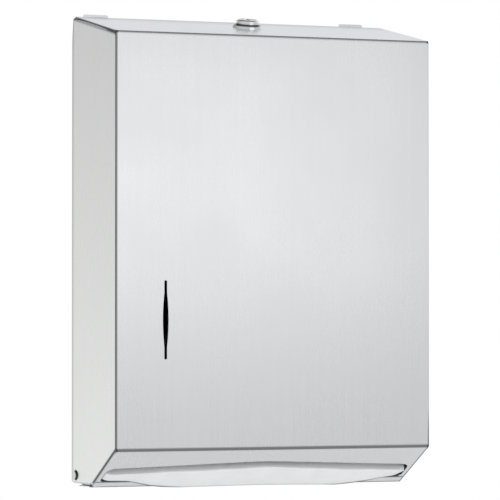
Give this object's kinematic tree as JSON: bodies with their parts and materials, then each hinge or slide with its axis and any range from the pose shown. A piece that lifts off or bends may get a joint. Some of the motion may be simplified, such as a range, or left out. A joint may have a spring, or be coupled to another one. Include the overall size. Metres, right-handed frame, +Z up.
{
  "type": "paper towel dispenser",
  "caption": "Wall-mounted folded paper towel dispenser: tilting stainless cover with sloped top, key lock, level slot and a dispensing slot in its bevel.",
  "frame": {"origin": "centre of the wall-screw pattern on the wall plane, at the back plate's rear face", "axes": "+Z up, +Y into the wall, -Y out of the front, +X to the viewer's right"},
  "size_m": [0.2758, 0.102, 0.3849],
  "materials": {
    "satin_steel": "satin stainless, fine vertical brushing",
    "plain_steel": "plain mill finish",
    "lock_chrome": "bright chrome plate",
    "lock_brass": "stamped brass",
    "nylon": "natural nylon",
    "towel_paper": "soft embossed white paper"
  },
  "bodies": {
    "back": {"back_plate": "satin_steel", "hinge_bracket_left": "plain_steel", "hinge_bracket_right": "plain_steel", "hinge_pin_left": "satin_steel", "hinge_pin_right": "satin_steel", "hinge_washer_left": "nylon", "hinge_washer_right": "nylon", "bracket_rivets": "plain_steel", "strike_bracket": "plain_steel", "strike_rivets": "plain_steel", "towel_tray": "plain_steel", "tray_rivets": "plain_steel", "towel_stack": "towel_paper"},
    "cover": {"front_wrap": "satin_steel", "side_panel_left": "satin_steel", "side_panel_right": "satin_steel", "hinge_doubler_left": "plain_steel", "hinge_doubler_right": "plain_steel", "lock_body": "lock_chrome", "lock_washer": "plain_steel", "lock_nut": "plain_steel"},
    "lock": {"lock_plug": "lock_chrome", "lock_cam": "plain_steel", "cam_screw": "plain_steel", "lock_wafers": "lock_brass", "wafer_springs": "plain_steel"},
    "towel": {"lead_towel": "towel_paper"}
  },
  "joints": [
    {"name": "cover_tilt", "type": "hinge", "parent": "back", "child": "cover", "pos_m": [0, -0.01, -0.2112], "axis": [1, 0, 0], "range_deg": [0, 80]},
    {"name": "lock_turn", "type": "hinge", "parent": "cover", "child": "lock", "pos_m": [0, -0.044, 0.15384], "axis": [0, -0.1936, 0.9811], "range_deg": [0, 90]},
    {"name": "lead_towel_pull", "type": "slide", "parent": "back", "child": "towel", "axis": [0, 0, -1], "range_m": [0, 0.03]}
  ]
}
